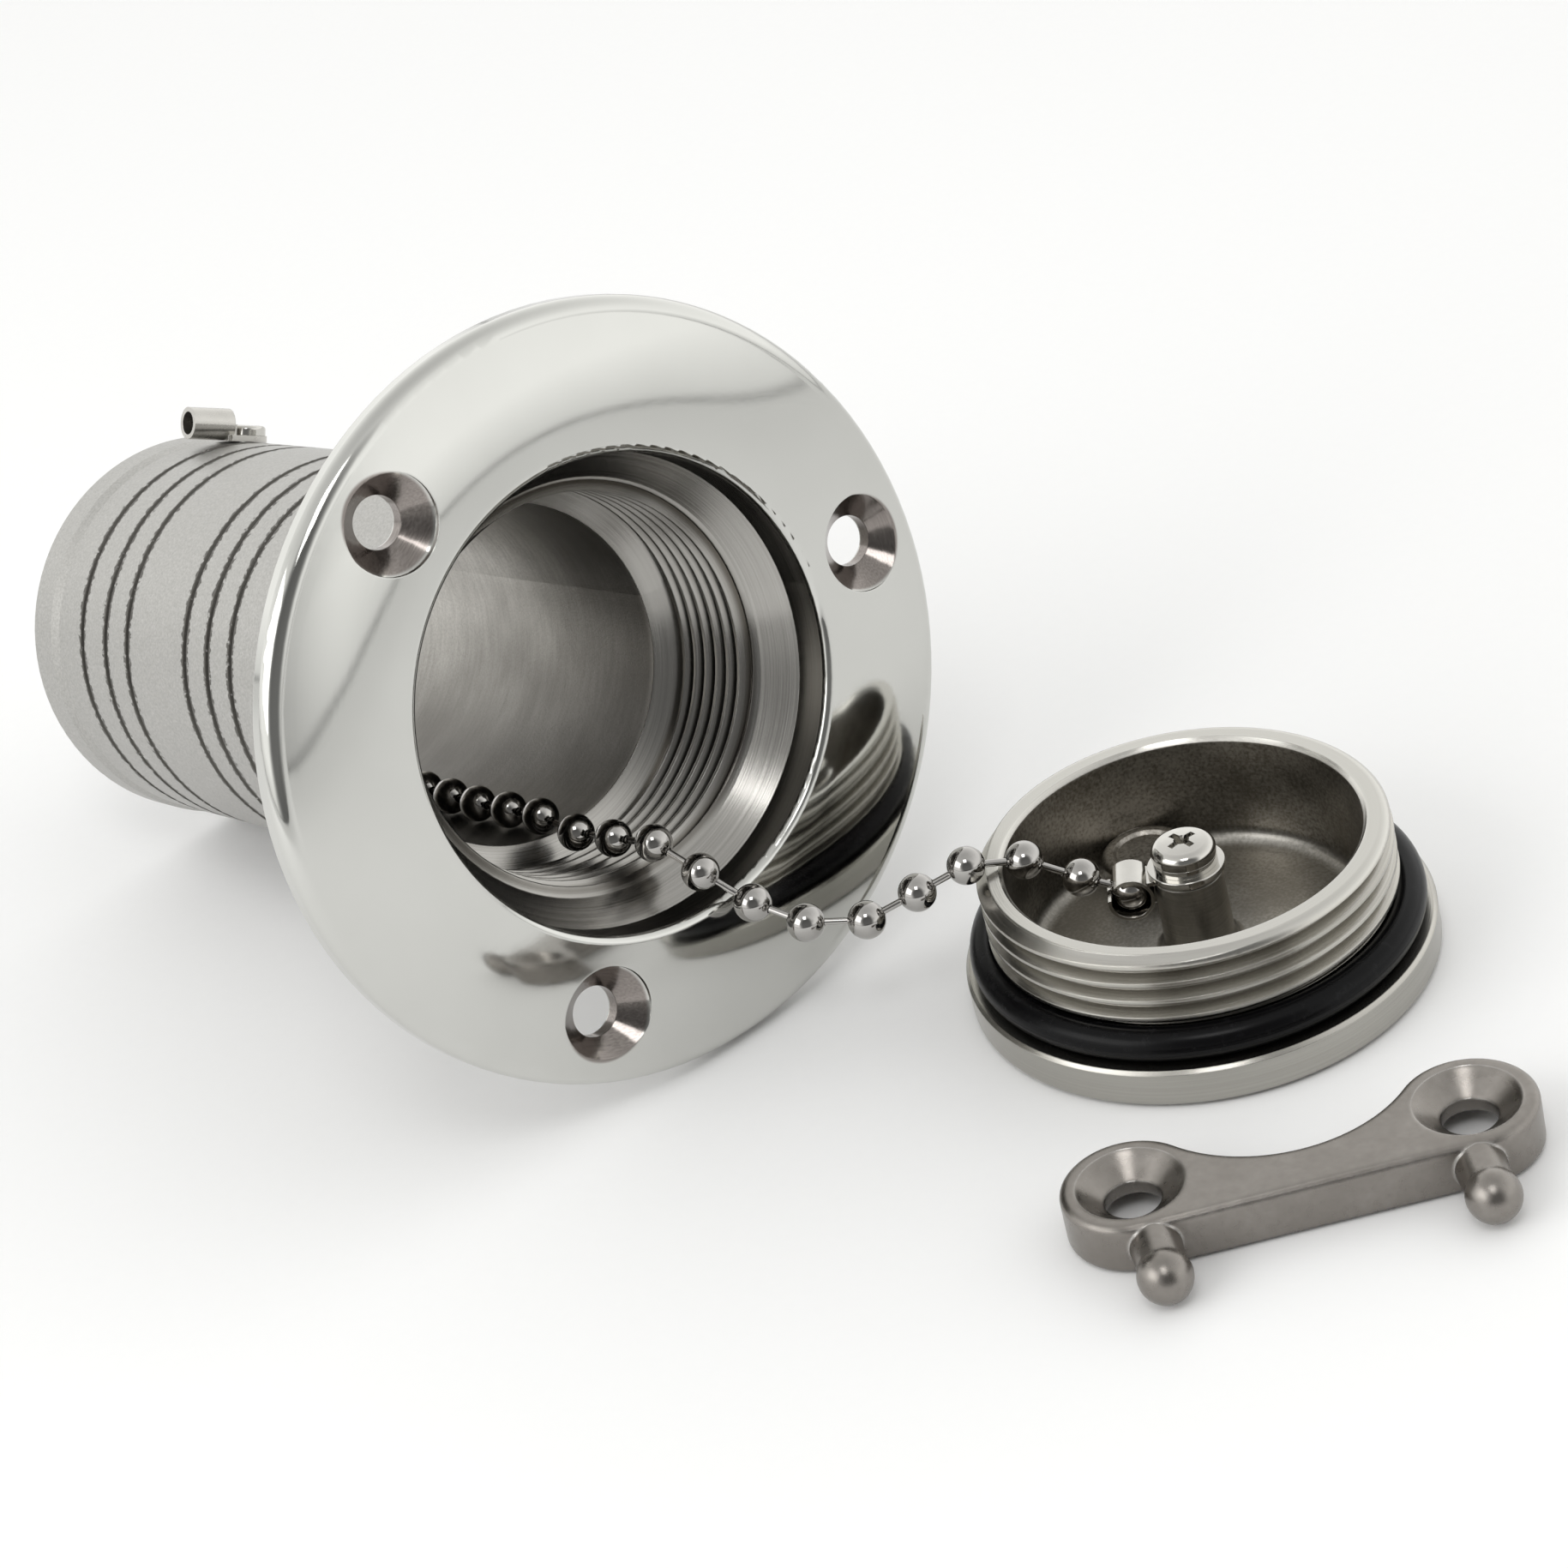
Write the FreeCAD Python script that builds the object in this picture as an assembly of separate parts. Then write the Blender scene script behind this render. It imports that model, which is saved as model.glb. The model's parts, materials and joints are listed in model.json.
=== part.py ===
import FreeCAD, Part
import math
import os

# A screw-in deck filler for a boat, laid out loose on a table: the filler housing on its side, the cap upside
# down beside it on its ball chain, and the flat two-pin key in front. Millimetres, +Z up, table at Z = 0.
# The housing's outward axis points along +X, tipped up a little because it lies on its flange and tail.

V = FreeCAD.Vector

# Housing, measured along its axis inward from the plane of the opening
FLANGE_R = 45.0
FLANGE_BACK = 5.3
LIP_R = 28.4
OPENING_R = 27.45
RECESS_DEPTH = 5.6
SEAT_R = 24.3
SEAT_DEPTH = 9.2
SOCKET_R = 29.5
SOCKET_DEPTH = 27.0
BORE_R = 20.4
BORE_START = 26.2
TAIL_R = 24.7
TAIL_END_R = 25.1
LENGTH = 105.2
SCREW_CIRCLE_R = 36.6
SCREW_HOLE_R = 3.0
COUNTERSINK_R = 5.8
SCREW_ANGLES = (208.7, 328.7, 88.7)
TAIL_GROOVES = (50.0, 56.0, 62.0, 78.0, 84.2, 91.0)

# Pipe thread of the cap and its socket, 11 turns to the inch
PITCH = 2.309
FUZZ = 1e-4
MALE_CREST_R = 23.8
MALE_ROOT_R = 22.45
FEMALE_CREST_R = 22.62
FEMALE_ROOT_R = 23.95
RELIEF_R = 24.1
RELIEF_FROM = 23.2
RELIEF_TO = 24.6

EARTH_AT = -95.0
EARTH_ANGLE = 28.0
ANCHOR_EYE = -90.2

# Cap, measured upward from its outer face, which lies on the table
HEAD_R = 27.3
HEAD_T = 4.8
GLAND_R = 22.4
GLAND_TOP = 9.0
CAP_H = 17.4
CUP_R = 20.6
CUP_FLOOR = 3.0
POST_R = 4.0
POST_TOP = 12.6
BOSS_R = 5.4
BOSS_TOP = 7.2
BOSS_CENTRE = 15.5
PIN_HOLE_R = 3.25
PIN_HOLE_DEPTH = 5.0
O_RING_R = 1.95
O_RING_CENTRE_R = 24.45
MALE_THREAD_TURN = 324.475

# Key
KEY_T = 6.0
KEY_SPACING = 36.4
LOBE_R = 7.6
KEY_FRONT = 7.5
KEY_BACK_ARC_R = 16.3
KEY_HOLE_R = 3.1
KEY_SINK_R = 5.9
KEY_LAND = 1.6
PIN_SPACING = 34.6
PIN_R = 2.65
PIN_BALL_R = 3.0
PIN_REACH = 12.6
PIN_ROOT = 6.2

# Ball chain
BEAD_R = 2.25
BEAD_WALL = 0.35
BEAD_HOLE_R = 0.55
LINK_R = 0.42
LINK_HEAD_R = 0.68
LINK_LENGTH = 5.0
CLASP_T = 0.5
CLASP_REACH = 6.75
CLASP_DROP = -1.25

# Layout on the table
TILT = math.degrees(math.atan2(FLANGE_R - TAIL_END_R, LENGTH - FLANGE_BACK))
AXIS_HEIGHT = FLANGE_R * math.cos(math.radians(TILT)) + FLANGE_BACK * math.sin(math.radians(TILT))
ORIGIN_SHIFT = V(2.166, -10.888, 0)
CAP_AT = V(42.55, 39.46, 0)
CAP_TURN = 67.0
KEY_AT = V(70.3, 0.9, 0)
KEY_TURN = 55.96

# Bead centres from the clasp in the tail out to the clasp in the cap. The first group lies in the housing,
# counted in the housing's own axes: across, up and outward. The second hangs free, in the table's axes.
INNER_BEADS = (
    V(0.95, -15.2, -75.35),
    V(-1.7, -16.9, -69.1),
    V(-2.3, -17.9, -62.2),
    V(-2.6, -17.85, -55.2),
    V(-3.0, -17.75, -48.2),
    V(-3.3, -17.7, -41.2),
    V(-3.1, -17.75, -34.2),
    V(-2.9, -17.8, -27.2),
    V(-2.8, -19.1, -20.2),
    V(-1.95, -19.4, -13.4),
    V(-0.7, -19.8, -6.8),
    V(0.5, -23.5, -1.0),
)
OUTER_BEADS = (
    V(8.86, 3.0, 18.0),
    V(14.96, 5.44, 16.0),
    V(19.9, 10.37, 15.2),
    V(23.25, 15.78, 17.0),
    V(26.81, 20.76, 19.05),
    V(29.78, 26.77, 17.3),
    V(33.8, 31.15, 13.7),
)
CLASP_BEAD = V(37.95, 34.52, 11.4)


def frame(origin, x_dir, y_dir, z_dir):
    m = FreeCAD.Matrix()
    m.A11, m.A21, m.A31 = x_dir.x, x_dir.y, x_dir.z
    m.A12, m.A22, m.A32 = y_dir.x, y_dir.y, y_dir.z
    m.A13, m.A23, m.A33 = z_dir.x, z_dir.y, z_dir.z
    m.A14, m.A24, m.A34 = origin.x, origin.y, origin.z
    return FreeCAD.Placement(m)


def housing_frame():
    """Across, up and outward axes of the housing as it lies."""
    t = math.radians(TILT)
    up = V(-math.sin(t), 0, math.cos(t))
    out = V(math.cos(t), 0, math.sin(t))
    return frame(V(0, 0, AXIS_HEIGHT), V(0, 1, 0), up, out)


def cap_frame():
    turn = FreeCAD.Rotation(V(0, 0, 1), CAP_TURN)
    return FreeCAD.Placement(CAP_AT, turn)


def key_frame():
    turn = FreeCAD.Rotation(V(0, 0, 1), KEY_TURN)
    return FreeCAD.Placement(KEY_AT, turn)


def moved(shape, placement):
    copy = shape.copy()
    copy.Placement = placement.multiply(copy.Placement)
    return copy


def turned(steps):
    """Solid of revolution about Z. A step is (r, z), or (r, z, r_mid, z_mid) for an arc."""
    edges = []
    last = V(steps[0][0], 0, steps[0][1])
    first = last
    for step in steps[1:]:
        end = V(step[0], 0, step[1])
        if len(step) == 4:
            edges.append(Part.Arc(last, V(step[2], 0, step[3]), end).toShape())
        else:
            edges.append(Part.makeLine(last, end))
        last = end
    if (last - first).Length > 1e-6:
        edges.append(Part.makeLine(last, first))
    face = Part.Face(Part.Wire(edges))
    return face.revolve(V(0, 0, 0), V(0, 0, 1), 360)


def helical_cutter(core_r, reach_r, start, turns, mouth, root):
    """Coil that cuts a thread groove between two radii: mouth is its width at core_r, root at reach_r."""
    helix = Part.makeLongHelix(PITCH, PITCH * turns, core_r, 0)
    side = 1 if reach_r > core_r else -1
    over = core_r - side * 0.6
    grow = 0.6 * (mouth - root) / abs(reach_r - core_r)
    corners = [
        V(over, 0, -mouth / 2 - grow / 2),
        V(reach_r, 0, -root / 2),
        V(reach_r, 0, root / 2),
        V(over, 0, mouth / 2 + grow / 2),
    ]
    profile = Part.makePolygon(corners + corners[:1])
    sweep = Part.BRepOffsetAPI.MakePipeShell(Part.Wire(helix.Edges))
    sweep.setBiNormalMode(V(0, 0, 1))
    sweep.add(profile)
    sweep.build()
    sweep.makeSolid()
    coil = sweep.shape()
    coil.translate(V(0, 0, start))
    return coil


def countersunk_hole(hole_r, sink_r, top):
    """Cutter for a through hole with a 90 degree countersink open at Z = top."""
    depth = sink_r - hole_r
    cone = Part.makeCone(hole_r, sink_r, depth, V(0, 0, top - depth))
    mouth = Part.makeCylinder(sink_r, 5, V(0, 0, top))
    hole = Part.makeCylinder(hole_r, 30, V(0, 0, top - 25))
    return hole.fuse([cone, mouth])


def housing_blank():
    steps = [
        (LIP_R, 0),
        (43.0, -1.6, 36.0, -0.45),
        (FLANGE_R, -3.5, 44.4, -2.15),
        (FLANGE_R, -FLANGE_BACK + 0.4),
        (FLANGE_R - 0.4, -FLANGE_BACK),
        (SOCKET_R + 2.0, -FLANGE_BACK),
        (SOCKET_R, -FLANGE_BACK - 2.0, SOCKET_R + 0.6, -FLANGE_BACK - 0.6),
        (SOCKET_R, -SOCKET_DEPTH),
        (TAIL_R, -SOCKET_DEPTH - 12.0),
    ]
    for at in TAIL_GROOVES:
        steps += [(TAIL_R, -at + 0.45), (TAIL_R - 0.55, -at + 0.1)]
        steps += [(TAIL_R - 0.55, -at - 0.2), (TAIL_R, -at - 0.5)]
    steps += [
        (TAIL_R, -LENGTH + 7.3),
        (TAIL_END_R, -LENGTH + 5.5),
        (TAIL_END_R, -LENGTH + 0.7),
        (TAIL_END_R - 0.7, -LENGTH, TAIL_END_R - 0.2, -LENGTH + 0.2),
        (BORE_R + 0.8, -LENGTH),
        (BORE_R, -LENGTH + 0.8),
        (BORE_R, -BORE_START),
        (RELIEF_R, -RELIEF_TO),
        (RELIEF_R, -RELIEF_FROM),
        (FEMALE_CREST_R, -RELIEF_FROM),
        (FEMALE_CREST_R, -SEAT_DEPTH - 1.2),
        (SEAT_R, -SEAT_DEPTH),
        (OPENING_R, -RECESS_DEPTH),
        (OPENING_R, -0.95),
        (LIP_R, 0, OPENING_R + 0.28, -0.28),
    ]
    return turned(steps)


def anchor_eye():
    """Small eye cast on the bottom of the bore, for the chain's ring."""
    eye = Part.makeCylinder(3.0, 3.0, V(-1.5, -15.2, ANCHOR_EYE), V(1, 0, 0))
    foot = Part.makeBox(3.0, 6.2, 6.0, V(-1.5, -21.4, ANCHOR_EYE - 3.0))
    hole = Part.makeCylinder(1.6, 5.0, V(-2.5, -15.2, ANCHOR_EYE), V(1, 0, 0))
    return eye.fuse(foot).cut(hole)


def in_tail_wall(shape):
    """Turn something built over the top of the tail round to where the earthing screw sits."""
    shape.rotate(V(0, 0, 0), V(0, 0, 1), -EARTH_ANGLE)
    return shape


def filler_housing():
    body = housing_blank()
    turns = (RELIEF_FROM - SEAT_DEPTH + 3.2) / PITCH
    groove = helical_cutter(FEMALE_CREST_R, FEMALE_ROOT_R, -RELIEF_FROM - 0.7, turns, 1.85, 0.55)
    body = body.cut([groove], FUZZ)
    for angle in SCREW_ANGLES:
        a = math.radians(angle)
        hole = countersunk_hole(SCREW_HOLE_R, COUNTERSINK_R, -0.75)
        hole.translate(V(SCREW_CIRCLE_R * math.sin(a), SCREW_CIRCLE_R * math.cos(a), 0))
        body = body.cut(hole)
    tapped = Part.makeCylinder(1.25, 4.0, V(0, TAIL_R - 3.4, EARTH_AT), V(0, 1, 0))
    body = body.cut(in_tail_wall(tapped))
    return body.fuse(anchor_eye()).removeSplitter()


def cap_blank():
    steps = [
        (0, 0),
        (HEAD_R - 1.0, 0),
        (HEAD_R, 1.0, HEAD_R - 0.29, 0.29),
        (HEAD_R, HEAD_T - 0.4),
        (HEAD_R - 0.4, HEAD_T),
        (GLAND_R, HEAD_T),
        (GLAND_R, GLAND_TOP - 1.1),
        (MALE_CREST_R, GLAND_TOP),
        (MALE_CREST_R, CAP_H - 1.6),
        (MALE_CREST_R - 1.2, CAP_H, MALE_CREST_R - 0.25, CAP_H - 0.5),
        (CUP_R + 0.5, CAP_H),
        (CUP_R, CAP_H - 0.5),
        (CUP_R, CUP_FLOOR + 2.0),
        (CUP_R - 2.0, CUP_FLOOR, CUP_R - 0.59, CUP_FLOOR + 0.59),
        (0, CUP_FLOOR),
    ]
    return turned(steps)


def cap_boss():
    """Round boss on the cup's floor over a key hole, with a rounded rim and a slightly dished top."""
    steps = [
        (0, 1.0),
        (BOSS_R, 1.0),
        (BOSS_R, BOSS_TOP - 1.0),
        (BOSS_R - 1.0, BOSS_TOP, BOSS_R - 0.29, BOSS_TOP - 0.29),
        (BOSS_R - 1.5, BOSS_TOP),
        (BOSS_R - 1.9, BOSS_TOP - 0.4),
        (0, BOSS_TOP - 0.4),
    ]
    return turned(steps)


def post():
    steps = [
        (0, 1.0),
        (POST_R + 1.2, 1.0),
        (POST_R + 1.2, CUP_FLOOR),
        (POST_R + 0.1, CUP_FLOOR + 1.2, POST_R + 0.4, CUP_FLOOR + 0.4),
        (POST_R, POST_TOP),
        (0, POST_TOP),
    ]
    return turned(steps)


def cap_body():
    body = cap_blank().fuse(post())
    for side in (1, -1):
        boss = cap_boss()
        boss.translate(V(0, side * BOSS_CENTRE, 0))
        inside = Part.makeCylinder(CUP_R + 0.8, CAP_H)
        body = body.fuse(boss.common(inside))
    for side in (1, -1):
        centre = V(0, side * PIN_SPACING / 2, 0)
        body = body.cut(Part.makeCylinder(PIN_HOLE_R, PIN_HOLE_DEPTH, centre))
    tap = Part.makeCylinder(1.65, 9.0, V(0, 0, POST_TOP - 9.0))
    body = body.cut(tap)
    turns = (CAP_H - GLAND_TOP + 3.6) / PITCH
    groove = helical_cutter(MALE_CREST_R, MALE_ROOT_R, GLAND_TOP - 2.4, turns, 1.85, 0.55)
    groove.rotate(V(0, 0, 0), V(0, 0, 1), MALE_THREAD_TURN)
    return body.cut([groove], FUZZ).removeSplitter()


def o_ring():
    return Part.makeTorus(O_RING_CENTRE_R, O_RING_R, V(0, 0, HEAD_T + O_RING_R))


def retaining_screw():
    """Pan-head cross-recess screw that holds the chain's clasp on the post."""
    base = POST_TOP + 2.4
    steps = [
        (0, POST_TOP - 7.0),
        (1.65, POST_TOP - 7.0),
        (1.65, POST_TOP),
        (1.95, POST_TOP),
        (1.95, base),
        (3.7, base),
        (3.75, base + 0.9),
        (2.6, base + 1.9, 3.45, base + 1.5),
        (0, base + 2.15, 1.3, base + 2.08),
    ]
    screw = turned(steps)
    for angle in (20, 110):
        slot = Part.makeBox(3.6, 0.8, 2.0, V(-1.8, -0.4, base + 0.9))
        slot.rotate(V(0, 0, 0), V(0, 0, 1), angle)
        screw = screw.cut(slot)
    return screw.cut(Part.makeCone(0.35, 0.95, 1.6, V(0, 0, base + 0.6)))


def spring_washer():
    ring = Part.makeCylinder(3.7, 1.0, V(0, 0, POST_TOP + 1.4))
    ring = ring.cut(Part.makeCylinder(2.1, 2.0, V(0, 0, POST_TOP + 1.0)))
    gap = Part.makeBox(3.0, 0.5, 3.0, V(1.5, -0.25, POST_TOP + 0.6))
    gap.rotate(V(0, 0, POST_TOP), V(1, 0, 0), 30)
    gap.rotate(V(0, 0, 0), V(0, 0, 1), 200)
    return ring.cut(gap)


def flat_washer():
    ring = Part.makeCylinder(4.5, 0.8, V(0, 0, POST_TOP + 0.6))
    ring = ring.makeFillet(0.15, ring.Edges)
    return ring.cut(Part.makeCylinder(2.15, 3.0, V(0, 0, POST_TOP - 1.0)))


def clasp():
    """Stamped strip: an eye at the origin and a loop that grips the chain's last bead, out along +X."""
    eye = Part.makeCylinder(3.9, CLASP_T).fuse(Part.makeBox(CLASP_REACH - 1.5, 3.6, CLASP_T, V(0, -1.8, 0)))
    loop = Part.makeCylinder(BEAD_R + 0.43, 4.6, V(CLASP_REACH, -2.3, CLASP_DROP), V(0, 1, 0))
    inside = Part.makeCylinder(BEAD_R + 0.03, 6.0, V(CLASP_REACH, -3.0, CLASP_DROP), V(0, 1, 0))
    hole = Part.makeCylinder(2.15, 3.0, V(0, 0, -1.0))
    gap = Part.makeBox(3.0, 6.0, 1.6, V(CLASP_REACH + 0.6, -3.0, -0.85))
    return eye.fuse(loop).cut(inside).cut(hole).cut(gap).removeSplitter()


def anchor_ring():
    return Part.makeTorus(4.3, 0.65, V(0, -15.2, ANCHOR_EYE + 4.1), V(0, 1, 0))


def earth_terminal():
    """Crimp barrel for an earthing wire, with a flat tongue that lies on the tail."""
    barrel = Part.makeCylinder(2.1, 5.9, V(-8.8, TAIL_R + 2.15, EARTH_AT), V(1, 0, 0))
    neck = Part.makeBox(1.2, 2.2, 3.4, V(-3.7, TAIL_R + 0.05, EARTH_AT - 1.7))
    tongue = Part.makeBox(3.5, 0.8, 5.0, V(-3.5, TAIL_R + 0.05, EARTH_AT - 2.5))
    tip = Part.makeCylinder(2.5, 0.8, V(0, TAIL_R + 0.05, EARTH_AT), V(0, 1, 0))
    bore = Part.makeCylinder(1.5, 5.2, V(-9.8, TAIL_R + 2.15, EARTH_AT), V(1, 0, 0))
    hole = Part.makeCylinder(1.35, 4.0, V(0, TAIL_R - 1.0, EARTH_AT), V(0, 1, 0))
    return in_tail_wall(barrel.fuse([neck, tongue, tip]).cut(bore).cut(hole).removeSplitter())


def earth_screw():
    """Small pan-head screw that holds the terminal to the tail."""
    seat = TAIL_R + 0.86
    shank = Part.makeCylinder(1.2, 3.9, V(0, seat - 3.9, EARTH_AT), V(0, 1, 0))
    head = Part.makeCylinder(2.3, 1.3, V(0, seat, EARTH_AT), V(0, 1, 0))
    rim = [e for e in head.Edges if e.Closed and abs(e.BoundBox.YMin - seat - 1.3) < 1e-3]
    head = head.makeFillet(0.5, rim)
    slot = Part.makeBox(6.0, 0.8, 0.6, V(-3.0, seat + 0.7, EARTH_AT - 0.3))
    return in_tail_wall(shank.fuse(head).cut(slot))


def chain_points():
    house = housing_frame()
    points = [house.multVec(p) for p in INNER_BEADS]
    return points + list(OUTER_BEADS) + [CLASP_BEAD]


def bead(centre, neighbours):
    """Hollow ball, pierced towards each neighbour."""
    ball = Part.makeSphere(BEAD_R, centre).cut(Part.makeSphere(BEAD_R - BEAD_WALL, centre))
    for other in neighbours:
        way = (other - centre).normalize()
        ball = ball.cut(Part.makeCylinder(BEAD_HOLE_R, BEAD_R + 1, centre, way))
    return ball


def link(a, b):
    """Rod between two beads with a round head inside each."""
    way = (b - a).normalize()
    start = (a + b) * 0.5 - way * (LINK_LENGTH / 2)
    neck = math.sqrt(LINK_HEAD_R**2 - LINK_R**2)
    steps = [
        (0, -LINK_HEAD_R),
        (LINK_R, neck, LINK_HEAD_R, 0),
        (LINK_R, LINK_LENGTH - neck),
        (0, LINK_LENGTH + LINK_HEAD_R, LINK_HEAD_R, LINK_LENGTH),
    ]
    return moved(turned(steps), FreeCAD.Placement(start, FreeCAD.Rotation(V(0, 0, 1), way)))


def chain():
    """Beads and links, split where the chain leaves the housing's mouth."""
    points = chain_points()
    balls = [bead(p, points[max(n - 1, 0) : n] + points[n + 1 : n + 2]) for n, p in enumerate(points)]
    links = [link(p, q) for p, q in zip(points, points[1:])]
    inner = len(INNER_BEADS)
    return {
        "chain_beads_inner": balls[:inner],
        "chain_links_inner": links[:inner],
        "chain_beads_outer": balls[inner:],
        "chain_links_outer": links[inner:],
    }


def key_outline():
    half = KEY_SPACING / 2
    drop = math.sqrt((KEY_BACK_ARC_R + LOBE_R) ** 2 - half**2)
    blend_x = LOBE_R * half / (KEY_BACK_ARC_R + LOBE_R)
    blend_y = LOBE_R * drop / (KEY_BACK_ARC_R + LOBE_R)
    low = -KEY_FRONT
    side = math.sqrt(LOBE_R**2 - KEY_FRONT**2)
    left = V(-side, low, 0)
    right = V(KEY_SPACING + side, low, 0)
    tip_l = V(blend_x, blend_y, 0)
    tip_r = V(KEY_SPACING - blend_x, blend_y, 0)
    edges = [
        Part.makeLine(left, right),
        Part.Arc(right, V(KEY_SPACING + LOBE_R * 0.8, LOBE_R * 0.6, 0), tip_r).toShape(),
        Part.Arc(tip_r, V(half, drop - KEY_BACK_ARC_R, 0), tip_l).toShape(),
        Part.Arc(tip_l, V(-LOBE_R * 0.8, LOBE_R * 0.6, 0), left).toShape(),
    ]
    return Part.Wire(edges)


def dished_hole():
    """Hole in the key: a short waist at mid thickness, dished out to both faces."""
    depth = (KEY_T - KEY_LAND) / 2
    waist = Part.makeCylinder(KEY_HOLE_R, KEY_T)
    upper = Part.makeCone(KEY_HOLE_R, KEY_SINK_R, depth, V(0, 0, KEY_T - depth))
    lower = Part.makeCone(KEY_SINK_R, KEY_HOLE_R, depth)
    above = Part.makeCylinder(KEY_SINK_R, 2, V(0, 0, KEY_T))
    below = Part.makeCylinder(KEY_SINK_R, 2, V(0, 0, -2))
    return waist.fuse([upper, lower, above, below])


def deck_key():
    plate = Part.Face(key_outline()).extrude(V(0, 0, KEY_T))
    plate = plate.makeFillet(0.8, [e for e in plate.Edges if not is_upright(e)])
    for x in (0, KEY_SPACING):
        hole = dished_hole()
        hole.translate(V(x, 0, 0))
        plate = plate.cut(hole)
    for side in (-1, 1):
        x = KEY_SPACING / 2 + side * PIN_SPACING / 2
        root = V(x, -PIN_ROOT, KEY_T / 2)
        pin = Part.makeCone(PIN_R + 0.2, PIN_R, PIN_REACH - PIN_ROOT, root, V(0, -1, 0))
        ball = Part.makeSphere(PIN_BALL_R, V(x, -PIN_REACH, KEY_T / 2))
        plate = plate.fuse([pin, ball])
    return plate.removeSplitter()


def is_upright(edge):
    ends = [v.Point for v in edge.Vertexes]
    return len(ends) == 2 and abs(ends[0].x - ends[1].x) < 1e-6 and abs(ends[0].y - ends[1].y) < 1e-6


def cap_clasp_frame():
    """The eye lies on the post under the washers, with the loop towards the clasp's bead."""
    away = V(CLASP_BEAD.x - CAP_AT.x, CLASP_BEAD.y - CAP_AT.y, 0).normalize()
    return frame(V(CAP_AT.x, CAP_AT.y, POST_TOP + 0.05), away, V(0, 0, 1).cross(away), V(0, 0, 1))


def anchor_clasp_frame():
    """The eye hangs on the ring in the tail, with the loop towards the opening."""
    local = frame(V(-0.3, -15.2, ANCHOR_EYE + 8.1), V(0, 0, 1), V(0, 1, 0), V(-1, 0, 0))
    return housing_frame().multiply(local)


def everything():
    house = housing_frame()
    cap = cap_frame()
    parts = {
        "filler_housing": [moved(filler_housing(), house)],
        "anchor_ring": [moved(anchor_ring(), house)],
        "earth_terminal": [moved(earth_terminal(), house)],
        "earth_screw": [moved(earth_screw(), house)],
        "anchor_clasp": [moved(clasp(), anchor_clasp_frame())],
        "cap_body": [moved(cap_body(), cap)],
        "cap_o_ring": [moved(o_ring(), cap)],
        "cap_screw": [moved(retaining_screw(), cap)],
        "cap_spring_washer": [moved(spring_washer(), cap)],
        "cap_flat_washer": [moved(flat_washer(), cap)],
        "cap_clasp": [moved(clasp(), cap_clasp_frame())],
        "deck_key": [moved(deck_key(), key_frame())],
    }
    parts.update(chain())
    return parts


def write_parts():
    os.makedirs("parts", exist_ok=True)
    for name, solids in everything().items():
        shape = solids[0] if len(solids) == 1 else Part.makeCompound(solids)
        shape.translate(ORIGIN_SHIFT)
        shape.exportStep("parts/" + name + ".step")
        box = shape.BoundBox
        low = tuple(round(v, 2) for v in (box.XMin, box.YMin, box.ZMin))
        high = tuple(round(v, 2) for v in (box.XMax, box.YMax, box.ZMax))
        print(name, len(shape.Solids), shape.isValid(), round(shape.Volume, 1), low, high)


write_parts()
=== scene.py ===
import json
import math

import bpy
from mathutils import Matrix, Vector

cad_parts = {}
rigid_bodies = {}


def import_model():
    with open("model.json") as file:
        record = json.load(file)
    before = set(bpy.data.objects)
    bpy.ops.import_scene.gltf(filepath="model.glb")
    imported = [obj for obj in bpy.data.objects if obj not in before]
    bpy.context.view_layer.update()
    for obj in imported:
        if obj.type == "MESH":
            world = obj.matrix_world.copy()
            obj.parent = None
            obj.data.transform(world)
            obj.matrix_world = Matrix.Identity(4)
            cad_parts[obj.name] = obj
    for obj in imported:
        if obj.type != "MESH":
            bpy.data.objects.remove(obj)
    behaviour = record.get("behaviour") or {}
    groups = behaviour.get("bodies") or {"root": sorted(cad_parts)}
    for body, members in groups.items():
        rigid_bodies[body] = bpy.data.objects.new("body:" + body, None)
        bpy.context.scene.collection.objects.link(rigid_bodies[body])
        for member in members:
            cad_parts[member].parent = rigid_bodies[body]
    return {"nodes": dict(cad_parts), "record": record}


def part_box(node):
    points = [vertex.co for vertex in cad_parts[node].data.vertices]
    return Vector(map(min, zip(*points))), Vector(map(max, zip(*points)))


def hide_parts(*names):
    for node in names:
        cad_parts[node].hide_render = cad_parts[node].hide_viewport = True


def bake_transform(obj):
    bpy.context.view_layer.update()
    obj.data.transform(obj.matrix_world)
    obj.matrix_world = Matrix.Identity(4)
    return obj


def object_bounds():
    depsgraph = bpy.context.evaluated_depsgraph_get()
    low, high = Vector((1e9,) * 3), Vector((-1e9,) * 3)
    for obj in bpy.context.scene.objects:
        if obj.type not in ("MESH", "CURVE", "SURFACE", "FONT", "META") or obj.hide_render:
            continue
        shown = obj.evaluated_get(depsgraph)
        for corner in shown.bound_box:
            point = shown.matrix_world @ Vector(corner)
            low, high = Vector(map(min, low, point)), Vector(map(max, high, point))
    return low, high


for default in list(bpy.data.objects):
    bpy.data.objects.remove(default)

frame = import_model()
CAD_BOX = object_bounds()
NODES = frame["nodes"]
MOUNTS = {mount["name"]: mount for mount in frame["record"]["mounts"]}

# Camera: its place in metres in the frame of the CAD, where it looks in degrees, and its lens.
CAMERA_PLACE = Vector((0.330366, -0.203978, 0.25641))
CAMERA_AZIMUTH = 147.3840
CAMERA_DROP = 30.88207
CAMERA_ROLL = -14.754246
SENSOR_MM = 36.0
LENS_MM = 88.514533

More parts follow.
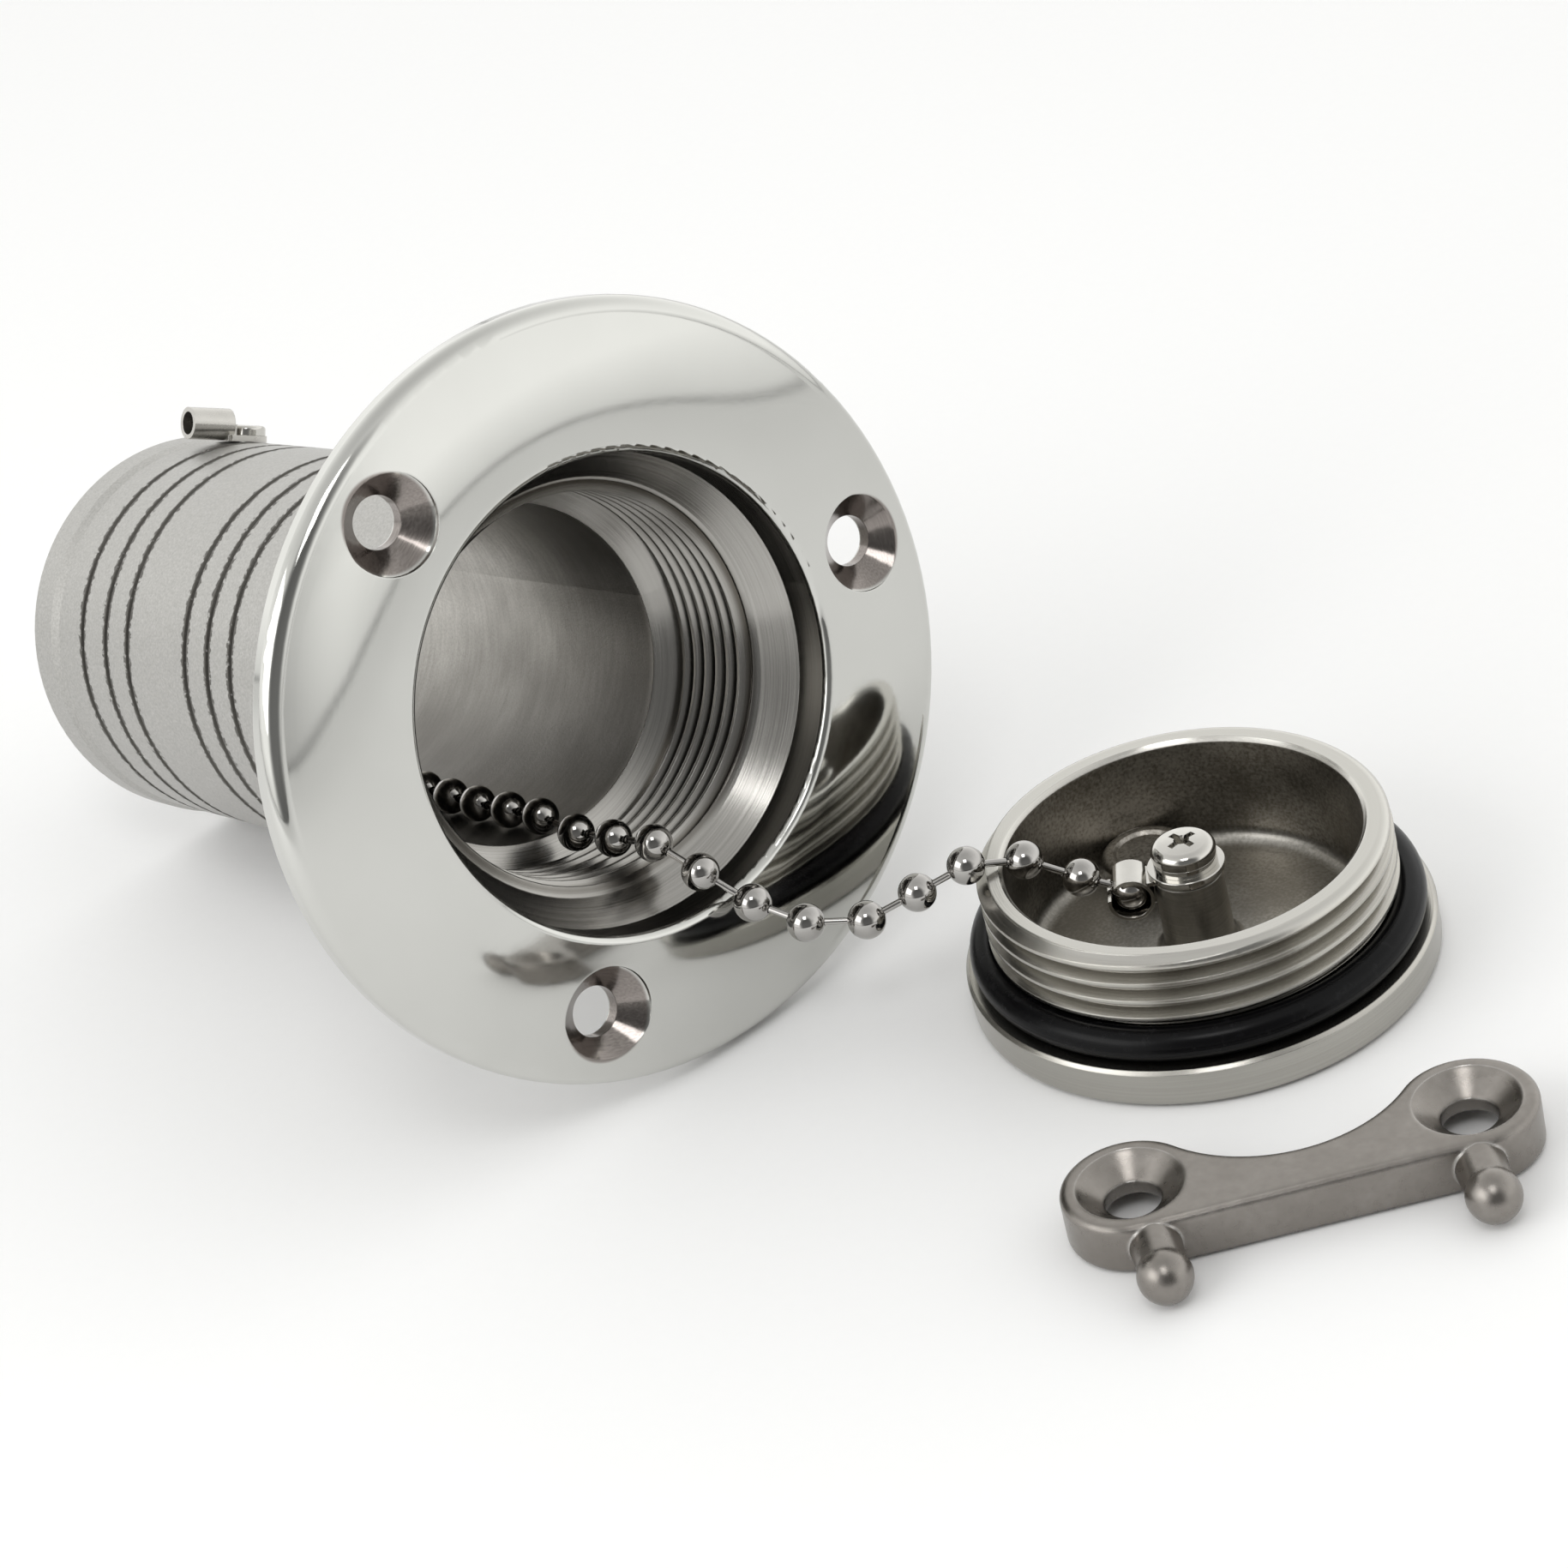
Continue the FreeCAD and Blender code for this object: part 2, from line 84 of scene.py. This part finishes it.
# The deck filler's axis and the plane of its opening, for finishes that change along it.
DECK = MOUNTS["deck_screws"]
FILLER_AXIS = Vector(DECK["axis"])
FILLER_UP = FILLER_AXIS.cross(Vector((0, 1, 0)))
FLANGE_BACK = 0.0053
OPENING = Vector(DECK["pos_m"]) + FLANGE_BACK * FILLER_AXIS
SCREW_CIRCLE = DECK["dims"]["pcd_mm"] / 2000
SCREW_ANGLES = (208.7, 328.7, 88.7)
SCREW_HEAD_R = 0.0056

# Where the deck filler's surfaces begin and end: radii, and depths below the opening.
RECESS_R = 0.0287
NECK_R = 0.0291
BORE_R = 0.0212
OUTSIDE_R = 0.0216
THREAD_ROOT_R = 0.0233
LIP_DEPTH = 0.0007
FLANGE_DEPTH = 0.0060
THREAD_DEPTHS = (0.0096, 0.0233)
BORE_DEPTH = 0.0265
TAIL_DEPTH = 0.02725
TAIL_GROOVES = (0.0500, 0.0560, 0.0620, 0.0780, 0.0842, 0.0910)

# The cap, upside down on the table: radii, and heights above the table.
CUP_R = 0.0208
POST_R = 0.0045
CAP_THREAD_R = 0.0212
CAP_THREAD_ROOT_R = 0.0231
CUP_FLOOR = 0.0018
FACE_TOP = 0.0008
HEAD_TOP = 0.0045
CAP_THREAD_FOOT = 0.0061
RIM_FOOT = 0.0168


# ---------------------------------------------------------------- node graphs
class Graph:
    """A material's node tree with short names for the nodes used here."""

    def __init__(self, name):
        self.material = bpy.data.materials.new(name)
        self.material.use_nodes = True
        self.tree = self.material.node_tree
        self.shader = self.tree.nodes["Principled BSDF"]
        self.place = self.tree.nodes.new("ShaderNodeTexCoord").outputs["Object"]

    def node(self, kind, inputs=None, **settings):
        made = self.tree.nodes.new(kind)
        for name, value in settings.items():
            setattr(made, name, value)
        for key, value in (inputs or {}).items():
            self.put(made.inputs[key], value)
        return made

    def put(self, socket, value):
        if isinstance(value, bpy.types.NodeSocket):
            self.tree.links.new(value, socket)
        elif isinstance(value, (tuple, list, Vector)) and len(socket.default_value) == 4:
            socket.default_value = (*value[:3], 1.0)
        else:
            socket.default_value = value

    def math(self, operation, a, b=0.0, c=0.0):
        made = self.node("ShaderNodeMath", {0: a, 1: b, 2: c}, operation=operation)
        return made.outputs[0]

    def vector(self, operation, a, b=(0.0, 0.0, 0.0)):
        made = self.node("ShaderNodeVectorMath", {0: a, 1: b}, operation=operation)
        return made.outputs["Value" if operation in ("DOT_PRODUCT", "LENGTH") else "Vector"]

    def scaled(self, vector, factor):
        made = self.node("ShaderNodeVectorMath", {0: vector}, operation="SCALE")
        self.put(made.inputs["Scale"], factor)
        return made.outputs["Vector"]

    def combine(self, x, y, z):
        return self.node("ShaderNodeCombineXYZ", {0: x, 1: y, 2: z}).outputs[0]

    def noise(self, scale, detail=3.0, vector=None, distortion=0.0):
        inputs = {"Scale": scale, "Detail": detail, "Distortion": distortion}
        inputs["Vector"] = vector or self.place
        return self.node("ShaderNodeTexNoise", inputs).outputs["Fac"]

    def step(self, value, low, high):
        """0 where value is under low, 1 where it is over high, smooth between."""
        made = self.node("ShaderNodeMapRange", {"Value": value}, interpolation_type="SMOOTHSTEP")
        self.put(made.inputs["From Min"], low)
        self.put(made.inputs["From Max"], high)
        return made.outputs["Result"]

    def above(self, value, limit, blur):
        """1 where value is over limit, 0 where it is under, mixed over blur each side."""
        return self.step(value, limit - blur, limit + blur)

    def below(self, value, limit, blur):
        return self.math("SUBTRACT", 1.0, self.above(value, limit, blur))

    def both(self, first, *others):
        """Product of masks."""
        for other in others:
            first = self.math("MULTIPLY", first, other)
        return first

    def either(self, a, b):
        return self.math("MAXIMUM", a, b)

    def range(self, value, low, high):
        """value, from 0 to 1, spread from low to high."""
        made = self.node("ShaderNodeMapRange", {"Value": value})
        self.put(made.inputs["To Min"], low)
        self.put(made.inputs["To Max"], high)
        return made.outputs["Result"]

    def mix(self, factor, a, b):
        made = self.node("ShaderNodeMix", data_type="FLOAT", inputs={"Factor": factor, "A": a, "B": b})
        return made.outputs["Result"]

    def tint(self, factor, a, b):
        made = self.node("ShaderNodeMix", data_type="RGBA")
        self.put(made.inputs["Factor"], factor)
        self.put(made.inputs[6], a)
        self.put(made.inputs[7], b)
        return made.outputs[2]

    def rounded(self, radius):
        return self.node("ShaderNodeBevel", {"Radius": radius}, samples=4).outputs["Normal"]

    def edge_wear_and_highlight(self, radius):
        """1 along edges, 0 on flat faces."""
        true_normal = self.node("ShaderNodeNewGeometry").outputs["Normal"]
        likeness = self.vector("DOT_PRODUCT", self.rounded(radius), true_normal)
        return self.math("SUBTRACT", 1.0, self.step(likeness, 0.80, 0.995))

    def bump(self, height, distance, normal=None, strength=1.0):
        inputs = {"Height": height, "Distance": distance, "Strength": strength}
        made = self.node("ShaderNodeBump", inputs)
        if normal is not None:
            self.put(made.inputs["Normal"], normal)
        return made.outputs["Normal"]

    def finish(self, **inputs):
        names = {"colour": "Base Color", "roughness": "Roughness", "metallic": "Metallic",
                 "normal": "Normal", "specular": "Specular IOR Level"}
        for name, value in inputs.items():
            self.put(self.shader.inputs[names[name]], value)
        return self.material


def around(graph, centre, axis):
    """Distance along an axis, distance from it, and a direction round it, at each point."""
    offset = graph.vector("SUBTRACT", graph.place, tuple(centre))
    along = graph.vector("DOT_PRODUCT", offset, tuple(axis))
    axial = graph.scaled(tuple(axis), along)
    outward = graph.vector("SUBTRACT", offset, axial)
    radius = graph.vector("LENGTH", outward)
    return along, radius, graph.vector("NORMALIZE", outward)


def turning_marks(graph, along, radius, outward, pitch, wander=0.9):
    """Fine rings that a lathe tool leaves: noise that hardly changes round the axis."""
    across = graph.combine(graph.math("MULTIPLY", along, 1.0 / pitch),
                           graph.math("MULTIPLY", radius, 1.0 / pitch), 0.0)
    drift = graph.scaled(outward, wander)
    return graph.noise(1.0, 4.0, graph.vector("ADD", across, drift))


def near_screws(graph, along):
    """1 inside the deck screws' countersinks, 0 elsewhere and on the flange's back."""
    nearest = None
    for degrees in SCREW_ANGLES:
        turn = math.radians(degrees)
        outward = math.sin(turn) * Vector((0, 1, 0)) + math.cos(turn) * FILLER_UP
        _, radius, _ = around(graph, OPENING + SCREW_CIRCLE * outward, FILLER_AXIS)
        nearest = radius if nearest is None else graph.math("MINIMUM", nearest, radius)
    countersunk = graph.below(nearest, SCREW_HEAD_R, 0.0002)
    return graph.both(countersunk, graph.above(along, 0.0002 - FLANGE_BACK, 0.0001))


def near_grooves(graph, along):
    """1 in the tail's scored grooves and on their torn edges, 0 elsewhere."""
    nearest = None
    for depth in TAIL_GROOVES:
        gap = graph.math("ABSOLUTE", graph.math("ADD", along, depth))
        nearest = gap if nearest is None else graph.math("MINIMUM", nearest, gap)
    ragged = 0.0022
    torn = graph.math("MULTIPLY", graph.math("SUBTRACT", graph.noise(1500.0, 5.0), 0.5), ragged)
    return graph.below(graph.math("ADD", nearest, torn), 0.00084, 0.00016)


# ---------------------------------------------------------------- materials
class HousingZones:
    """Masks, 1 on one region of the deck filler's surface and 0 elsewhere."""

    def __init__(self, g, along, radius):
        inside = g.below(radius, RECESS_R, 0.0003)
        self.recess = g.both(inside, g.below(along, -LIP_DEPTH, 0.0005))
        self.bore = g.both(g.below(along, -BORE_DEPTH, 0.0010), g.below(radius, BORE_R, 0.0002))
        neck = g.both(g.below(along, -FLANGE_DEPTH, 0.0008), g.above(radius, NECK_R, 0.0001))
        tail = g.both(g.below(along, -TAIL_DEPTH, 0.00025), g.above(radius, OUTSIDE_R, 0.0002))
        self.outside = g.either(neck, tail)
        self.sunk = near_screws(g, along)
        self.grooves = g.both(near_grooves(g, along), g.below(along, -0.0260, 0.0005))
        first, last = THREAD_DEPTHS
        threaded = g.both(g.above(along, -last, 0.0003), g.below(along, -first, 0.0004))
        self.roots = g.both(threaded, g.above(radius, THREAD_ROOT_R, 0.0005))


def housing_colour(g, zones, along, radius, outward, rings, blasted):
    """Bright flange, darker turned recess, bore with painted shade near the mouth and along its top
    and bottom, weathered tail; painted shade in thread roots and grooves.
    """
    clouds = g.noise(70.0, 3.0)
    sunk = g.tint(rings, (0.15, 0.13, 0.12), (0.36, 0.33, 0.31))
    flange = g.tint(clouds, (0.55, 0.55, 0.525), (0.61, 0.61, 0.585))
    flange = g.tint(zones.sunk, flange, sunk)

    recess = g.tint(rings, (0.25, 0.24, 0.224), (0.49, 0.48, 0.455))
    # Painted shade: the thread roots are darkened.
    recess = g.tint(zones.roots, recess, (0.12, 0.11, 0.095))

    streaked = turning_marks(g, along, radius, outward, 0.00065, 3.5)
    grained = g.math("MULTIPLY", g.math("ADD", g.math("MULTIPLY", blasted, 1.4), streaked), clouds)
    bore = g.tint(grained, (0.19, 0.178, 0.16), (0.68, 0.66, 0.62))
    # Painted shade: the bore is darkened near the mouth and along its top and bottom.
    upright = g.math("ABSOLUTE", g.vector("DOT_PRODUCT", outward, tuple(FILLER_UP)))
    painted_bore_shade = g.either(g.step(along, -0.058, -0.030), g.step(upright, 0.15, 1.0))
    bore = g.tint(g.math("MULTIPLY", painted_bore_shade, 0.72), bore, (0.07, 0.064, 0.055))

    weathered = g.noise(1.0, 4.0, g.vector("MULTIPLY", g.place, (420.0, 1500.0, 1500.0)))
    tail = g.tint(blasted, (0.24, 0.236, 0.225), (0.67, 0.662, 0.64))
    tail = g.tint(g.math("MULTIPLY", weathered, 0.5), tail, (0.36, 0.35, 0.33))
    # Painted shade: the tail's grooves and their torn edges are darkened.
    tail = g.tint(g.math("MULTIPLY", zones.grooves, 0.85), tail, (0.055, 0.05, 0.042))

    colour = g.tint(zones.recess, flange, recess)
    colour = g.tint(zones.bore, colour, bore)
    return g.tint(zones.outside, colour, tail)


def housing_roughness(g, zones, rings, blasted):
    """Mirror with smears and hairlines on the flange, duller where turned or blasted."""
    hairlines = g.noise(1.0, 2.0, g.vector("MULTIPLY", g.place, (9000.0, 260.0, 900.0)))
    smears = g.noise(45.0, 4.0, distortion=1.2)
    rough = g.range(g.math("MULTIPLY", smears, hairlines), 0.045, 0.13)
    rough = g.mix(zones.sunk, rough, g.range(rings, 0.08, 0.20))
    rough = g.mix(zones.recess, rough, g.range(rings, 0.14, 0.27))
    rough = g.mix(zones.bore, rough, g.range(blasted, 0.30, 0.46))
    return g.mix(zones.outside, rough, g.range(blasted, 0.34, 0.50))


def housing_relief(g, zones, along, radius, outward, rings, blasted):
    """Soft edges, a polisher's slow waves, tool rings, a blasted tooth and drawn streaks."""
    sideways = g.vector("DOT_PRODUCT", outward, (0, 1, 0))
    drawn = g.noise(1.0, 4.0, g.combine(g.math("MULTIPLY", along, 240.0),
                                        g.math("MULTIPLY", radius, 900.0),
                                        g.math("MULTIPLY", sideways, 60.0)))
    waves = g.bump(g.noise(38.0, 1.5), 0.00045, g.rounded(0.0002), 0.14)
    turned = g.bump(rings, 0.00001, waves, g.math("MULTIPLY", zones.recess, 0.55))
    grain = g.either(zones.bore, zones.outside)
    blast = g.bump(blasted, 0.00003, turned, g.math("MULTIPLY", grain, 0.7))
    return g.bump(drawn, 0.00005, blast, g.math("MULTIPLY", zones.outside, 0.45))


def polished_housing():
    """The deck filler: mirror flange, turned recess and thread, dark bore, blasted tail."""
    g = Graph("housing_stainless")
    along, radius, outward = around(g, OPENING, FILLER_AXIS)
    zones = HousingZones(g, along, radius)
    rings = turning_marks(g, along, radius, outward, 0.00022)
    blasted = g.noise(3200.0, 5.0)
    colour = housing_colour(g, zones, along, radius, outward, rings, blasted)
    relief = housing_relief(g, zones, along, radius, outward, rings, blasted)
    rough = housing_roughness(g, zones, rings, blasted)
    return g.finish(colour=colour, roughness=rough, metallic=1.0, normal=relief)


def turned_cap():
    """The cap: turned thread and rim, darker cup inside, brushed head darkened as a painted
    reflection, painted shade in the thread roots.
    """
    g = Graph("cap_stainless")
    low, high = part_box("cap_body")
    centre = Vector(((low.x + high.x) / 2, (low.y + high.y) / 2, 0.0))
    along, radius, outward = around(g, centre, Vector((0, 0, 1)))
    cup = g.both(g.below(radius, CUP_R, 0.0002), g.above(along, CUP_FLOOR, 0.0008))
    post = g.below(radius, POST_R, 0.0003)
    rim = g.above(along, RIM_FOOT, 0.0003)
    face = g.below(along, FACE_TOP, 0.0004)
    head = g.below(along, HEAD_TOP, 0.0003)
    threaded = g.both(g.above(along, CAP_THREAD_FOOT, 0.0003), g.above(radius, CAP_THREAD_R, 0.0002))
    roots = g.both(threaded, g.below(radius, CAP_THREAD_ROOT_R, 0.0005))
    rings = turning_marks(g, along, radius, outward, 0.00026)
    fine = turning_marks(g, along, radius, outward, 0.00009, 1.6)
    speckle = g.noise(2600.0, 5.0)
    clouds = g.noise(90.0, 3.0)

    colour = g.tint(rings, (0.36, 0.345, 0.31), (0.60, 0.585, 0.545))
    # Painted shade: the thread roots are darkened.
    colour = g.tint(g.math("MULTIPLY", roots, 0.45), colour, (0.16, 0.148, 0.125))
    cast = g.math("MULTIPLY", g.math("ADD", speckle, g.math("MULTIPLY", rings, 0.25)), clouds)
    cup_colour = g.tint(g.step(cast, 0.15, 0.50), (0.17, 0.155, 0.13), (0.46, 0.435, 0.395))
    off_post = g.math("SUBTRACT", 1.0, g.math("MULTIPLY", post, 0.8))
    colour = g.tint(g.both(cup, off_post), colour, cup_colour)
    colour = g.tint(g.math("MULTIPLY", rim, 0.7), colour, (0.62, 0.61, 0.575))

    # Painted reflection: the head is darkened to stand in for a dark reflection of the table beside
    # it.
    colour = g.tint(g.math("MULTIPLY", head, 0.45), colour, (0.30, 0.295, 0.275))

    rough = g.range(g.math("MULTIPLY", rings, fine), 0.17, 0.40)
    rough = g.mix(cup, rough, g.range(speckle, 0.28, 0.42))
    rough = g.mix(face, rough, g.range(clouds, 0.06, 0.12))

    edge = g.rounded(0.00018)
    marks = g.bump(rings, 0.000012, edge, 0.6)
    marks = g.bump(fine, 0.000008, marks, 0.5)
    grain = g.bump(speckle, 0.00001, marks, g.math("MULTIPLY", cup, 0.6))
    return g.finish(colour=colour, roughness=rough, metallic=1.0, normal=grain)


def bright_steel(name, tone, low_rough, high_rough, edge, grain=0.35):
    """Small polished parts: even colour, slight smears, hairline scratches, soft edges."""
    g = Graph(name)
    smears = g.noise(260.0, 4.0, distortion=0.8)
    scratches = g.noise(1.0, 3.0, g.vector("MULTIPLY", g.place, (5200.0, 900.0, 2400.0)))
    dark = tuple(0.80 * part for part in tone)
    colour = g.tint(smears, dark, tone)
    rough = g.range(g.math("MULTIPLY", smears, scratches), low_rough, high_rough)
    soft = g.rounded(edge)
    wavy = g.bump(smears, 0.00006, soft, 0.25)
    lines = g.bump(scratches, 0.000006, wavy, grain)
    return g.finish(colour=colour, roughness=rough, metallic=1.0, normal=lines)


def tumbled_key():
    """The key: investment cast steel, tumbled, with rubbed edges brightened partly as a painted
    highlight, and fine pits.
    """
    g = Graph("key_stainless")
    skin = g.noise(900.0, 5.0)
    pits = g.noise(3400.0, 4.0)
    lumps = g.noise(160.0, 2.0)
    wear_and_highlight = g.edge_wear_and_highlight(0.0006)
    top = g.step(g.node("ShaderNodeSeparateXYZ", {0: g.place}).outputs["Z"], 0.0052, 0.0058)
    base = g.tint(g.math("MULTIPLY", skin, lumps), (0.22, 0.203, 0.185), (0.38, 0.358, 0.335))
    # Edges lightened: partly real rubbing, partly a painted highlight.
    colour = g.tint(g.math("MULTIPLY", wear_and_highlight, 0.75), base, (0.74, 0.725, 0.70))
    rough = g.mix(wear_and_highlight, g.range(skin, 0.22, 0.36), 0.15)
    rough = g.mix(g.math("MULTIPLY", top, 0.5), rough, 0.20)
    soft = g.rounded(0.0007)
    shape = g.bump(lumps, 0.0003, soft, 0.22)
    cast = g.bump(skin, 0.00004, shape, 0.14)
    fine = g.bump(pits, 0.00001, cast, 0.35)
    return g.finish(colour=colour, roughness=rough, metallic=1.0, normal=fine)


def black_rubber():
    """The O-ring: glossy black nitrile with a faint mould line and a little dust."""
    g = Graph("ring_rubber")
    low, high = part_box("cap_o_ring")
    middle = (low + high) / 2
    along, radius, outward = around(g, middle, Vector((0, 0, 1)))
    line = g.math("SUBTRACT", 1.0, g.step(g.math("ABSOLUTE", along), 0.00004, 0.00014))
    dust = g.noise(900.0, 5.0)
    bloom = g.noise(60.0, 3.0)
    colour = g.tint(g.step(dust, 0.55, 0.8), (0.003, 0.003, 0.0035), (0.010, 0.010, 0.011))
    rough = g.range(g.math("MULTIPLY", dust, bloom), 0.22, 0.36)
    skin = g.bump(dust, 0.00001, None, 0.15)
    flash = g.bump(line, 0.00005, skin, 0.5)
    return g.finish(colour=colour, roughness=rough, metallic=0.0, normal=flash, specular=0.14)


def pale_floor():
    """A matt white table top with a very faint tooth."""
    g = Graph("table")
    tooth = g.noise(600.0, 3.0)
    colour = g.tint(tooth, (0.95, 0.95, 0.95), (0.97, 0.97, 0.97))
    return g.finish(colour=colour, roughness=0.75, metallic=0.0, specular=0.2)


# ---------------------------------------------------------------- pieces
def clothe(material, *names):
    for name in names:
        mesh = NODES[name].data
        mesh.materials.clear()
        mesh.materials.append(material)


def joined_copy(name, *sources):
    """One new mesh piece made of copies of CAD nodes' meshes."""
    copies = []
    for source in sources:
        copy = bpy.data.objects.new(name, NODES[source].data.copy())
        bpy.context.scene.collection.objects.link(copy)
        copies.append(copy)
    with bpy.context.temp_override(active_object=copies[0], object=copies[0],
                                   selected_editable_objects=copies, selected_objects=copies):
        bpy.ops.object.join()
    return copies[0]


def chains(material):
    """The ball chain as two pieces, each joined from copies of its beads and links: one in the bore,
    one from the mouth to the cap.
    """
    inner = joined_copy("ball_chain_inner", "chain_beads_inner", "chain_links_inner")
    outer = joined_copy("ball_chain_outer", "chain_beads_outer", "chain_links_outer")
    for piece in (inner, outer):
        piece.data.materials.clear()
        piece.data.materials.append(material)
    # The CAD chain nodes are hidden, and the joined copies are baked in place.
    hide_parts("chain_beads_inner", "chain_links_inner")
    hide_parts("chain_beads_outer", "chain_links_outer")
    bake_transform(inner)
    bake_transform(outer)


# ---------------------------------------------------------------- stage
def add_floor():
    mesh = bpy.data.meshes.new("table")
    reach = 12.0
    corners = [(-reach, -reach, 0), (reach, -reach, 0), (reach, reach, 0), (-reach, reach, 0)]
    mesh.from_pydata(corners, [], [(0, 1, 2, 3)])
    mesh.materials.append(pale_floor())
    table = bpy.data.objects.new("table", mesh)
    table.location.z = CAD_BOX[0].z - 0.0002
    bpy.context.scene.collection.objects.link(table)


def add_light(name, place, aim, size, power):
    lamp = bpy.data.lights.new(name, "AREA")
    lamp.shape = "RECTANGLE"
    lamp.size = size[0]
    lamp.size_y = size[1]
    lamp.energy = power
    holder = bpy.data.objects.new(name, lamp)
    holder.location = place
    holder.rotation_euler = (Vector(aim) - Vector(place)).to_track_quat("-Z", "Y").to_euler()
    bpy.context.scene.collection.objects.link(holder)


def add_world():
    """A white tent: bright walls, a dimmer roof, a grey seam at the table and an open front."""
    world = bpy.data.worlds.new("tent")
    world.use_nodes = True
    tree = world.node_tree
    place = tree.nodes.new("ShaderNodeTexCoord")
    parts = tree.nodes.new("ShaderNodeSeparateXYZ")
    ramp = tree.nodes.new("ShaderNodeValToRGB")
    tree.links.new(place.outputs["Generated"], parts.inputs[0])
    tree.links.new(parts.outputs["Z"], ramp.inputs[0])
    stops = ((0.0, 0.50), (0.006, 0.55), (0.014, 1.0), (0.15, 1.38), (0.38, 1.3), (1.0, 0.74))
    while len(ramp.color_ramp.elements) < len(stops):
        ramp.color_ramp.elements.new(0.5)
    for element, (position, value) in zip(ramp.color_ramp.elements, stops):
        element.position = position
        element.color = (value, value, value * 0.985, 1.0)
    facing = tree.nodes.new("ShaderNodeVectorMath")
    facing.operation = "DOT_PRODUCT"
    front = Vector((0.72, -0.46, 0.35))
    facing.inputs[1].default_value = front.normalized()
    tree.links.new(place.outputs["Generated"], facing.inputs[0])
    opening = tree.nodes.new("ShaderNodeMapRange")
    opening.interpolation_type = "SMOOTHSTEP"
    for name, value in (("From Min", 0.66), ("From Max", 0.93), ("To Min", 1.0), ("To Max", 0.16)):
        opening.inputs[name].default_value = value
    tree.links.new(facing.outputs["Value"], opening.inputs["Value"])
    tree.links.new(ramp.outputs[0], tree.nodes["Background"].inputs["Color"])
    tree.links.new(opening.outputs["Result"], tree.nodes["Background"].inputs["Strength"])
    bpy.context.scene.world = world


def add_lights():
    add_light("left_box", (-0.1, -0.8, 0.55), (0.0, 0.0, 0.03), (0.7, 0.5), 2.0)
    add_light("edge_box", (0.38, -0.28, 0.78), (0.05, 0.0, 0.0), (0.26, 0.26), 0.9)


def add_camera():
    azimuth = math.radians(CAMERA_AZIMUTH)
    drop = math.radians(CAMERA_DROP)
    ahead = math.cos(drop)
    forward = Vector((math.cos(azimuth) * ahead, math.sin(azimuth) * ahead, -math.sin(drop)))
    level = forward.cross(Vector((0, 0, 1))).normalized()
    upright = level.cross(forward)
    roll = math.radians(CAMERA_ROLL)
    right = math.cos(roll) * level + math.sin(roll) * upright
    up = math.cos(roll) * upright - math.sin(roll) * level
    lens = bpy.data.cameras.new("camera")
    lens.sensor_width = SENSOR_MM
    lens.lens = LENS_MM
    lens.clip_start = 0.01
    lens.clip_end = 20.0
    camera = bpy.data.objects.new("camera", lens)
    turn = Matrix((right, up, -forward)).transposed().to_4x4()
    camera.matrix_world = Matrix.Translation(CAMERA_PLACE) @ turn
    bpy.context.scene.collection.objects.link(camera)
    bpy.context.scene.camera = camera


def main():
    add_camera()
    add_world()
    add_lights()
    add_floor()
    small = bright_steel("fastener_stainless", (0.62, 0.605, 0.57), 0.07, 0.22, 0.00012)
    beads = bright_steel("bead_stainless", (0.46, 0.447, 0.43), 0.03, 0.12, 0.00008, 0.2)
    clothe(polished_housing(), "filler_housing")
    clothe(turned_cap(), "cap_body")
    tag = bright_steel("terminal_steel", (0.60, 0.585, 0.55), 0.24, 0.42, 0.00012)
    clothe(small, "cap_screw", "cap_spring_washer", "cap_flat_washer", "earth_screw")
    clothe(tag, "earth_terminal")
    clothe(small, "cap_clasp", "anchor_clasp", "anchor_ring")
    clothe(black_rubber(), "cap_o_ring")
    clothe(tumbled_key(), "deck_key")
    chains(beads)
    bpy.context.scene.view_settings.view_transform = "Standard"


main()
